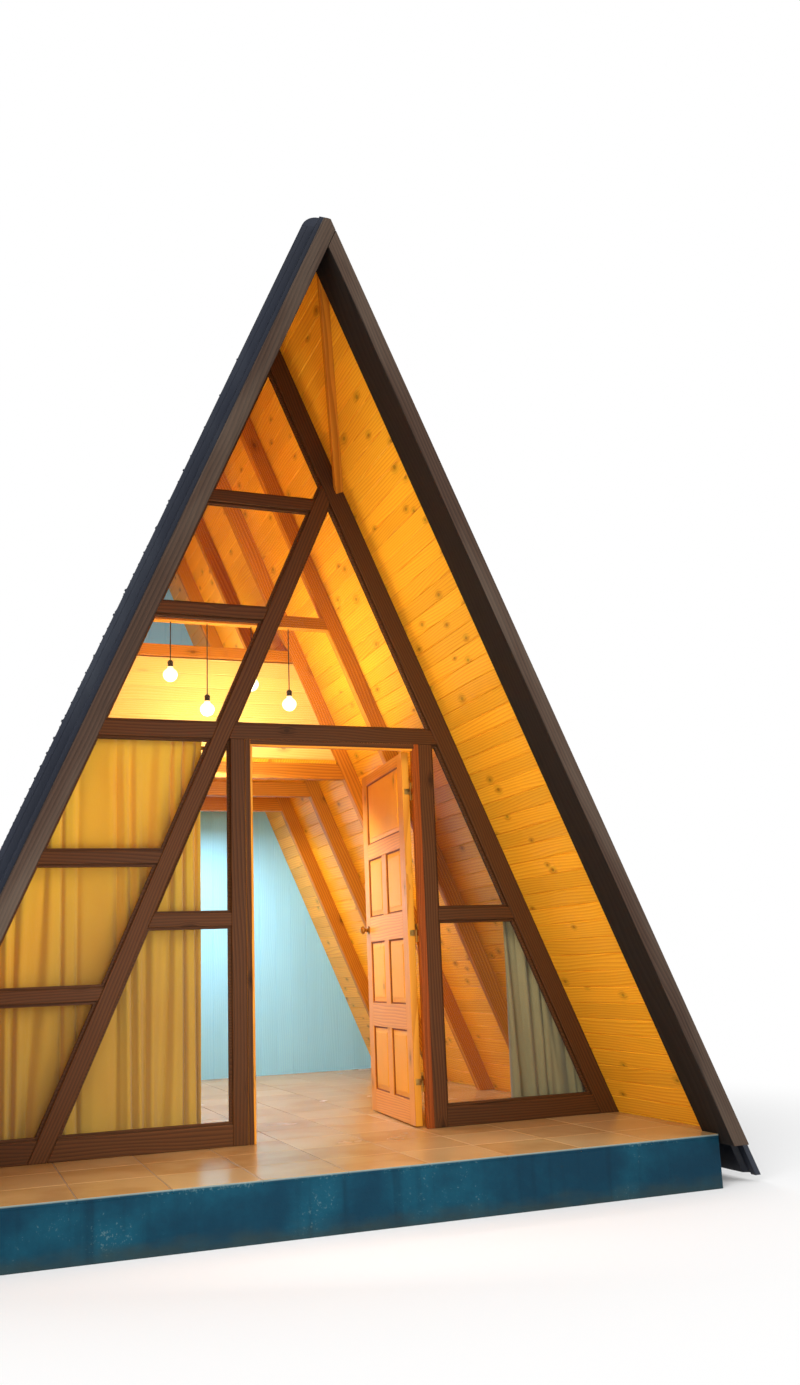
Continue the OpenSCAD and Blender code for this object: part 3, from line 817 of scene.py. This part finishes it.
# %% Members of the leaf
hinge, opened = Vector((0.8155, -1.583, FLOOR)), math.radians(-95)
leaf_place = Matrix.Translation(hinge) @ Matrix.Rotation(opened, 4, "Z")
front_y, back_y = -0.047, -0.007
free_x, hung_x, foot_z, head_z = -0.9555, -0.0035, 0.007, 2.070
stile_wide, panel_wide = 0.105, 0.323
inner_a, inner_b = free_x + stile_wide, hung_x - stile_wide
middle_a, middle_b = inner_a + panel_wide, inner_b - panel_wide
panel_rows = [(0.135, 0.510), (0.648, 1.016), (1.166, 1.526)]
top_row = (1.621, 2.005)
rail_rows = [(foot_z, 0.135), (0.510, 0.648), (1.016, 1.166), (1.526, 1.621), (2.005, head_z)]


def member(name, x_a, x_b, z_a, z_b, along):
    """One board of the leaf, with eased edges."""
    board = block(name, (x_a, front_y, z_a), (x_b, back_y, z_b))
    return lay_grain(ease(board, 0.0018), along)


leaf = [member("stile", free_x, inner_a, foot_z, head_z, UPRIGHT),
        member("stile", inner_b, hung_x, foot_z, head_z, UPRIGHT)]
leaf += [member("rail", inner_a, inner_b, a, b, ACROSS) for a, b in rail_rows]
leaf += [member("middle", middle_a, middle_b, a, b, UPRIGHT) for a, b in panel_rows]

# %% [markdown]
# A raised panel starts as a thin block, sunk 12 mm into both faces of the leaf. Its face is inset
# and lifted, which leaves the sloping field, and a second, very small inset makes the upright
# shoulder of the raised middle. A bead frames it where it meets the stiles, in a dark finish that
# is painted shade.

# %% Raised panels
def sunk_block(name, x_a, x_b, z_a, z_b, sunk):
    return block(name, (x_a, front_y + sunk, z_a), (x_b, back_y - sunk, z_b))


def raised_panel(*field):
    panel = sunk_block("panel", *field, 0.012)
    pick(panel, "FACE", lambda place, normal: abs(normal.y) > 0.9)
    bpy.ops.mesh.inset(thickness=0.034, depth=0.0055, use_individual=True)
    bpy.ops.mesh.inset(thickness=0.0012, depth=0.0025, use_individual=True)
    done()
    return lay_grain(panel, UPRIGHT)


def panel_bead(*field):
    """A quarter-round bead round a panel, on both faces."""
    bead = band(sunk_block("bead", *field, 0.0125), wide=0.009, thick=0.009)
    return lay_grain(ease(bead, 0.004, 3), UPRIGHT)


fields = [(x_a, x_b, z_a, z_b) for z_a, z_b in panel_rows
          for x_a, x_b in ((inner_a, middle_a), (middle_b, inner_b))]
fields.append((inner_a, inner_b, *top_row))
leaf = put(joined("door_leaf_joinery", leaf), leaf_place)
hang(leaf, door_wood, "door_wood", "door_leaf", body="door")
# The beads take the dark finish, which paints in the shade round each panel.
for name, make, finish in (("door_raised_panels", raised_panel, door_panel),
                           ("door_panel_beads", panel_bead, door_painted_shade)):
    pieces = put(joined(name, [make(*field) for field in fields]), leaf_place)
    hang(pieces, finish, "door_wood", body="door")

# %% [markdown]
# The lining is a board on each side and one over the head, with a thin stop that the leaf closes
# on. Its front edges are stained like the frame, and the reveal behind the hinges gets painted
# shade.

# %% Door lining
low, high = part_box("door_lining")
thick, stop, stop_deep = 0.028, 0.012, 0.021
x_a, x_b, head, stop_y = low.x + thick, high.x - thick, high.z - thick, low.y + stop_deep
boards = [
    (low.x, low.y, low.z, x_a, high.y, high.z, UPRIGHT),
    (x_b, low.y, low.z, high.x, high.y, high.z, UPRIGHT),
    (x_a, low.y, head, x_b, high.y, high.z, ACROSS),
    (x_a, low.y, low.z, x_a + stop, stop_y, head, UPRIGHT),
    (x_b - stop, low.y, low.z, x_b, stop_y, head, UPRIGHT),
    (x_a + stop, low.y, head - stop, x_b - stop, stop_y, head, ACROSS),
]
boards = [lay_grain(ease(block("board", row[:3], row[3:6]), 0.002), row[6]) for row in boards]
lining = hang(joined("door_lining_boards", boards), door_wood, "door_wood", "door_lining")
second(lining, frame_wood, lambda place, normal: normal.y < -0.9
       and (place.x < x_a or place.x > x_b or place.z > head))
# The reveal behind the hinges, darkened as painted shade.
second(lining, door_painted_shade, lambda place, normal: place.x > x_b - stop - 0.001 and normal.x < 0.5)

# %% [markdown]
# ## Brass
#
# The hinges are small and right as they are, so they keep their CAD shape and get worn brass. The
# knobs are turned work, so each is spun from its outline about its own axis, rose and all.

# %% Brass and turned work
def worn_brass():
    f = Finish("worn_brass")
    here = f.place()
    rub = f.noise(here, 28, 4, 0.6)
    colour = f.blend(tone(206, 168, 92), tone(122, 88, 44), f.step(rub, 0.45, 0.7))
    return f.close(Base_Color=colour, Metallic=1.0, Roughness=rub * 0.3 + 0.18,
                   Normal=f.relief(f.noise(here, 300, 2), 0.0002, 0.5))


def turned(name, outline, steps=32):
    """Spins an outline of radius and height pairs about Z."""
    mesh = bpy.data.meshes.new(name)
    lines = [(i, i + 1) for i in range(len(outline) - 1)]
    mesh.from_pydata([(r, 0, z) for r, z in outline], lines, [])
    piece = added(name, mesh)
    pick_all(piece)
    bpy.ops.mesh.spin(steps=steps, angle=2 * math.pi, center=(0, 0, 0), axis=(0, 0, 1))
    bpy.ops.mesh.select_all(action="SELECT")
    bpy.ops.mesh.remove_doubles(threshold=0.00002)
    bpy.ops.mesh.normals_make_consistent(inside=False)
    done()
    bpy.ops.object.shade_smooth_by_angle(angle=math.radians(40))
    return piece


brass = worn_brass()
dress(brass, "frame_hinges", "leaf_hinges", "curtain_rod")

knob_outline = [
    (0, 0.056), (0.008, 0.0555), (0.015, 0.053), (0.021, 0.0485), (0.0245, 0.043), (0.025, 0.038),
    (0.0235, 0.0335), (0.019, 0.0295), (0.0125, 0.0265), (0.0095, 0.022), (0.009, 0.013),
    (0.011, 0.0085), (0.0145, 0.0065), (0.0215, 0.005), (0.0245, 0.0035), (0.026, 0.002),
    (0.026, 0), (0, 0)]
knob_x, knob_z = free_x + 0.058, rail_rows[2][0] + 0.075
knobs = []
for y, lean in ((front_y, 90), (back_y, -90)):
    knob = turned("knob", knob_outline)
    knobs.append(put(knob, leaf_place @ Matrix.Translation((knob_x, y, knob_z))
                     @ Matrix.Rotation(math.radians(lean), 4, "X")))
hang(joined("door_knobs_turned", knobs), brass, "brass", "door_knobs", body="door")

# %% [markdown]
# ## Hanging lamps
#
# Four bare bulbs hang at different heights from the first collar tie, which is one bay behind the
# glazed front and 3.01 m above the floor. Each has its place as a share of the tie's half length.
# The glass is spun, it glows, and its holder is dark. Each flex is a free cord with a weight on it,
# so it hangs straight.

# %% Lamps
def lit_glass():
    f = Finish("lit_glass")
    glow = f.noise(f.place(), 14, 2)
    return f.close(Base_Color=tone(255, 236, 190), Roughness=0.1,
                   Emission_Color=f.blend(tone(255, 226, 150), tone(255, 246, 214), glow),
                   Emission_Strength=2.2)


def dull_black():
    f = Finish("holder_black")
    speck = f.noise(f.place(), 160, 2)
    return f.close(Base_Color=f.shade(tone(44, 38, 34), speck * 0.4 + 0.8), Roughness=0.5,
                   Normal=f.relief(speck, 0.0003, 0.4))


bulb_outline = [
    (0, 0), (0.012, 0.0016), (0.0235, 0.0066), (0.0335, 0.015), (0.041, 0.0265), (0.0448, 0.04),
    (0.0448, 0.0505), (0.0405, 0.063), (0.033, 0.0725), (0.024, 0.0795), (0.0185, 0.086),
    (0.0175, 0.094), (0, 0.094)]
holder_outline = [
    (0, 0.0775), (0.0172, 0.0775), (0.0185, 0.08), (0.0185, 0.088), (0.0168, 0.0895),
    (0.0168, 0.118), (0.0178, 0.12), (0.0178, 0.1265), (0.0125, 0.134), (0.006, 0.139), (0, 0.139)]
glazed_y, bay, half_tie, flex_wide, flex_in = -1.656, 0.840, 0.033, 0.007, 0.138
tie_z, lamp_y = FLOOR + 3.010, glazed_y + bay + half_tie
lamp_half = half_at(0.100, tie_z)
black, lit = dull_black(), lit_glass()
drops = ((-0.73, 0.3861), (-0.34, 0.594), (0.14, 0.4217), (0.555, 0.5405))


def straight_flex(name, x, top, foot, segments=15):
    """A round flex from a tie down to its holder."""
    line = bpy.data.curves.new(name, "CURVE")
    line.dimensions, line.use_fill_caps = "3D", True
    line.bevel_depth, line.bevel_resolution = flex_wide / 2, 2
    spline = line.splines.new("POLY")
    spline.points.add(segments)
    for point, z in zip(spline.points, np.linspace(top, foot, segments + 1)):
        point.co = (x, lamp_y, z, 1)
    return added(name, line)


for i, (share, drop) in enumerate(drops, 1):
    x, foot = share * lamp_half, tie_z - drop + flex_in
    at = Matrix.Translation((x, lamp_y, tie_z - drop))
    bulb = turned(f"lamp_bulb_{i}", bulb_outline)
    holder = turned(f"lamp_holder_{i}", holder_outline, 24)
    hang(put(bulb, at), lit, "lamp_glass", "pendant_lamps")
    hang(put(holder, at), black, "lamp_glass")
    flex = hang(straight_flex(f"lamp_flex_{i}", x, tie_z, foot), black, "lamp_glass")
    tie_z - foot

# %% [markdown]
# ## Curtains
#
# The cloth behind the glass is thin and gathered, wider than the gap it covers. A grid is laid
# over the window and each column of it swings forward and back. The folds are tight at the top,
# where the cloth is gathered, and drift and widen on the way down, each at its own pace. The top
# 60 mm lean forward past the rod, and the hem hangs just clear of the floor.

# %% Gathered cloth
def cloth(name, thin, deep, dust_and_painted_shade):
    f = Finish(name)
    weave = f.add("ShaderNodeUVMap", {"uv_map": "UVMap"})
    yarn = f.figure(weave, (900, 40, 1), 1) + f.figure(weave, (40, 900, 1), 1)
    crease = f.figure(weave, (5, 2.5, 1), 3)
    # Painted light: the cloth keeps its bright colour at the top and is blended towards a dull tone
    # lower down, as if lit from above.
    lit_part = f.step(f.part(weave, 1) + crease * 0.2, 0.35, 1.05)
    colour = f.blend(thin, deep, f.step(crease, 0.35, 0.7) * 0.5 + yarn * 0.15)
    colour = f.blend(f.blend(colour, dust_and_painted_shade, 0.6), colour, lit_part)
    return f.close(Base_Color=colour, Roughness=0.88, Sheen_Weight=0.3,
                   Normal=f.relief(yarn + crease * 3, 0.0012, 0.6))


def curtain(node, x_a, x_b, top_of, folds, finish):
    """A gathered sheet between two places, under a top line, in a node's depth."""
    low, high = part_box(node)
    middle, depth = (low.y + high.y) / 2, (high.y - low.y) / 2 - 0.004
    lean_from, lean_tall, lean_deep = high.z - 0.075, 0.060, 0.036
    bpy.ops.mesh.primitive_grid_add(x_subdivisions=folds * 20, y_subdivisions=36, size=1)
    sheet = named(node + "_cloth")
    for vertex in sheet.data.vertices:
        u, v = vertex.co.x + 0.5, vertex.co.y + 0.5
        x = x_a + (x_b - x_a) * u
        top = top_of(x)
        drift = (1.2 - 0.5 * v) * math.sin(13.1 * u + 1.3) + 0.8 * math.sin(31.7 * u + 2 * v)
        phase = 2 * math.pi * folds * u + 2.2 * drift
        swing = math.sin(phase) + 0.28 * math.sin(2.17 * phase + 1.1 + v)
        size = depth * (0.52 + 0.26 * (1 - v) + 0.14 * math.sin(7.3 * u + 0.6))
        z = low.z + (top - low.z) * v
        lift = min(max((z - lean_from) / lean_tall, 0), 1)
        vertex.co = (x + 0.006 * math.cos(phase), middle - lean_deep * lift
                     + size * (1 - 0.35 * lift) * swing / 1.28, z)
    area = sum(face.area for face in sheet.data.polygons)
    tops = [top_of(x_a + (x_b - x_a) * i / 100) - low.z for i in range(101)]
    wide = area / (sum(tops) / len(tops))
    modify(sheet, "SOLIDIFY", thickness=0.0012, offset=0)
    bpy.ops.object.shade_smooth()
    hang(sheet, finish, "curtain_cloth", node)
    print(sheet.name, round(wide, 2), "m of cloth over", round(abs(x_b - x_a), 2), "m")


def under_slope(x, hem):
    """Height of the cloth's cut edge, 4 mm inside the lining and never below its hem."""
    return max(crown(0.004) - abs(x) * math.tan(LEAN), hem + 0.01)


# The third tone of each cloth is the dull colour painted on its lower part as shade.
low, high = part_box("left_curtain")
curtain("left_curtain", low.x + 0.012, high.x - 0.004,
        lambda x: min(high.z + 0.062, under_slope(x, low.z)), 15,
        cloth("yellow_cloth", tone(255, 200, 54), tone(238, 166, 32), tone(146, 118, 62)))
low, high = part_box("right_curtain")
curtain("right_curtain", low.x + 0.004, high.x - 0.012,
        lambda x: under_slope(x, low.z), 3,
        cloth("grey_cloth", tone(164, 150, 104), tone(140, 126, 84), tone(126, 118, 84)))

# %% [markdown]
# ## Roof sheets
#
# The covering is dark painted metal, dulled by dust that rain has drawn into streaks down the
# slope. The CAD has its folds, so only its finish is new here. Screws with washers fix it on every
# rib at each purlin below the cap: one is modelled, and two arrays set out the rest.

# %% Roof metal and its screws
def roof_metal():
    f = Finish("roof_metal")
    here = f.place()
    dust_and_painted_shade = f.noise(f.place(scale=(2, 14, 0.7)), 1, 4, 0.6)
    patch = f.noise(here, 1.6, 4)
    colour = f.blend(tone(25, 31, 45), tone(58, 63, 72), f.step(dust_and_painted_shade, 0.48, 0.8) * 0.7)
    colour = f.shade(colour, patch * 0.5 + 0.75)
    return f.close(Base_Color=colour, Roughness=dust_and_painted_shade * 0.25 + 0.38, Metallic=0.1,
                   Normal=f.relief(patch + dust_and_painted_shade * 0.3, 0.0015, 0.4))


metal = roof_metal()
dress(metal, "left_roof_sheets", "right_roof_sheets", "ridge_cap")

half_roof, setback, margin, rib_wide, ribs = 2.830, 0.150, 0.040, 0.070, 14
purlin_wide, purlins, first = 0.060, 8, FLOOR + 0.060
sheets_y = half_roof - setback
rib_depth = -(SEAT + LINING_BOARD + PURLIN + 2 * SEAT + SHEET + RIB)
rib_step = (2 * (sheets_y - margin) - rib_wide) / (ribs - 1)
first_y = -sheets_y + margin + rib_wide / 2
purlin_step = (crown(-SEAT - LINING_BOARD) - first - 4 * purlin_wide) / (purlins - 1)
screw_outline = [(0, 0), (0.0095, 0), (0.0095, 0.0012), (0.008, 0.002), (0.0055, 0.002),
                 (0.0055, 0.006), (0, 0.006)]
for side, word in SIDES:
    screw = turned(f"{word}_roof_screws", screw_outline, 6)
    fall = (crown(rib_depth) - first - purlin_wide / 2) / math.sin(LEAN)
    put(screw, on_slope(side, rib_depth, first_y) @ Matrix.Translation((fall, 0, 0)))
    repeat(screw, ribs, (0, rib_step, 0))
    repeat(screw, purlins - 1, tuple(-down(side) * (purlin_step / math.sin(LEAN))))
    hang(screw, metal, "roof_metal")

# %% [markdown]
# Where the cap's flange rides on the ribs it leaves a slot over each flat. Roofers push a foam
# strip in there, along the flange's foot. Beside each verge a folded trim as high as the ribs
# closes the narrow flat between the last rib and the edge, from the cap's roll to the sheets' foot.

# %% Foam under the cap and trims at the verges
flange_foot, roll_foot, sheet_foot, past_foot = 4.710, 4.884, 0.0305, 5.6
flat, high_as_ribs = rib_depth + RIB - SEAT, RIB - 0.0005
foam_wide, foam_out, trim_wide = 0.030, 0.003, margin - 0.001
for side, word in SIDES:
    slope = on_slope(side, flat, 0)
    near, far = ((crown(flat) - z) / math.sin(LEAN) for z in (roll_foot, flange_foot))
    foam = block(f"{word}_cap_foam", (far - foam_wide, margin - sheets_y, 0),
                 (far + foam_out, sheets_y - margin, high_as_ribs))
    hang(ease(put(foam, slope), 0.001), metal, "roof_metal")
    trims = [put(block("trim", (near, y, 0), (past_foot, y + trim_wide, high_as_ribs)), slope)
             for y in (0.0005 - sheets_y, sheets_y - margin + 0.0005)]
    trims = cut(joined(f"{word}_verge_trims", trims), (0, 0, sheet_foot), (0, 0, -1))
    hang(ease(trims, 0.0015), metal, "roof_metal")

# %% [markdown]
# The lining boards run out 90 mm past the sheets at each verge. Left bare they would drink the
# rain, so a strip of the same metal is folded over them: a flat leg up to the sheets and a lip down
# over the sawn ends. A small plate closes the point where the two lips meet.

# %% Verge flashings
low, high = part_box("left_lining")
verge_top, plate_foot, plate_half, plate_depth = 4.889, 4.835, 0.06, -0.022
gap, metal_thick, lip, leg_y, past_ridge, past_foot = 0.0005, 0.0015, 0.0195, 2.6765, 0.05, 5.2
lip_y, edge_y = high.y + gap, high.y + gap + metal_thick
for side, word in SIDES:
    folds = []
    for end in (-1, 1):
        for y, foot in ((leg_y, 0), (lip_y, -lip)):
            y_a, y_b = sorted((end * y, end * edge_y))
            fold = block("fold", (-past_ridge, y_a, foot), (past_foot, y_b, metal_thick))
            folds.append(put(fold, on_slope(side, LINING - LINING_BOARD - gap, 0)))
    strips = joined(f"{word}_verge_flashings", folds)
    cut(strips, (0, 0, 0), (-side, 0, 0))
    cut(strips, (0, 0, low.z), (0, 0, -1))
    cut(strips, (0, 0, verge_top), (0, 0, 1))
    hang(ease(strips, 0.0004), metal, "roof_metal")

plates = []
for end in (-1, 1):
    y_a, y_b = sorted((end * lip_y, end * edge_y))
    plate = block("plate", (-plate_half, y_a, plate_foot), (plate_half, y_b, verge_top))
    plates.append(trim_to_slopes(plate, plate_depth))
hang(ease(joined("verge_end_plates", plates), 0.0004), metal, "roof_metal")

# %% [markdown]
# ## Floor, backdrop and light
#
# The object stands on a plain pale floor that fades to white from 2.4 m to 5.4 m out, so no
# horizon cuts behind it. The world gives an even grey light, and the camera and polished things see
# it as white.

# %% Floor and backdrop
def pale_floor(fade_from=2.4, fade_to=5.4):
    f = Finish("pale_floor")
    reach = f.vector("LENGTH", f.place(), out="Value")
    diffuse = f.add("ShaderNodeBsdfDiffuse", {}, {"Color": (0.80, 0.80, 0.80, 1)})
    white = f.add("ShaderNodeEmission", {}, {"Color": (1, 1, 1, 1), "Strength": 1.0})
    fade = f.step(reach, fade_from, fade_to) * f.add("ShaderNodeLightPath", out="Is Camera Ray")
    return f.end(f.add("ShaderNodeMixShader", {}, {0: fade, 1: diffuse, 2: white}))


bpy.ops.mesh.primitive_circle_add(vertices=96, radius=60, fill_type="NGON", location=(0, 0, 0))
ground = bpy.context.active_object
ground.name = "studio_floor"
ground.data.materials.append(pale_floor())
ground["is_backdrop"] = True

sky, white, daylight = Finish("studio", "worlds"), (1, 1, 1, 1), 0.62
camera_ray = sky.add("ShaderNodeLightPath", out="Is Camera Ray")
seen = camera_ray.math("MAXIMUM", camera_ray, sky.add("ShaderNodeLightPath", out="Is Glossy Ray"))
ambient = sky.add("ShaderNodeBackground", {}, {"Color": white, "Strength": daylight})
backdrop = sky.add("ShaderNodeBackground", {}, {"Color": white, "Strength": 1.0})
choose = sky.add("ShaderNodeMixShader", {}, {0: seen, 1: ambient, 2: backdrop})
bpy.context.scene.world = sky.end(choose, "ShaderNodeOutputWorld")
print("world light", daylight)

# %% [markdown]
# The light is soft and neutral: a wide lamp from the front left, a weaker one from the right and
# one from behind. The roof keeps all of these out, so a small lamp stands before the porch and four
# more light the room, its ceiling, its back wall and the loft.

# %% Lamps of the studio
def lamp(name, place, aim, size, power):
    light = bpy.data.lights.new(name, "AREA")
    light.shape, light.size, light.energy = "DISK", size, power
    holder = added(name, light)
    holder.location = place
    holder.rotation_mode = "QUATERNION"
    holder.rotation_quaternion = (Vector(aim) - Vector(place)).to_track_quat("-Z", "Y")
    holder.visible_camera = holder.visible_glossy = False
    print("lamp", name, power, "W")


lamp("key", (-6.0, -10.0, 7.5), (0, -1, 2), 6.0, 850)
lamp("fill", (8.0, -9.0, 5.0), (0, -1, 2), 6.0, 520)
lamp("back", (2.0, 10.0, 8.0), (0, 1, 2), 5.0, 350)
lamp("porch", (-0.6, -4.2, 1.2), (0.4, -1.8, 2.6), 1.2, 30)
lamp("room", (0.0, -0.5, 2.25), (0, 0.4, 0), 1.1, 42)
lamp("room_up", (0.0, -0.7, 2.30), (0, -0.7, 5), 0.7, 30)
lamp("room_back", (0.2, 1.6, 2.25), (0.2, 1.9, 0), 0.9, 40)
lamp("loft", (0.0, 1.0, 3.10), (0, 1.6, 4), 0.5, 14)

# %% [markdown]
# Colours are shown as they are, with no film look on top. The dressed model's box is printed at
# the end.

# %% Print the visual box
bpy.context.scene.view_settings.view_transform = "Standard"
low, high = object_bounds()
print("visual box", [round(v, 3) for v in (*low, *high)])
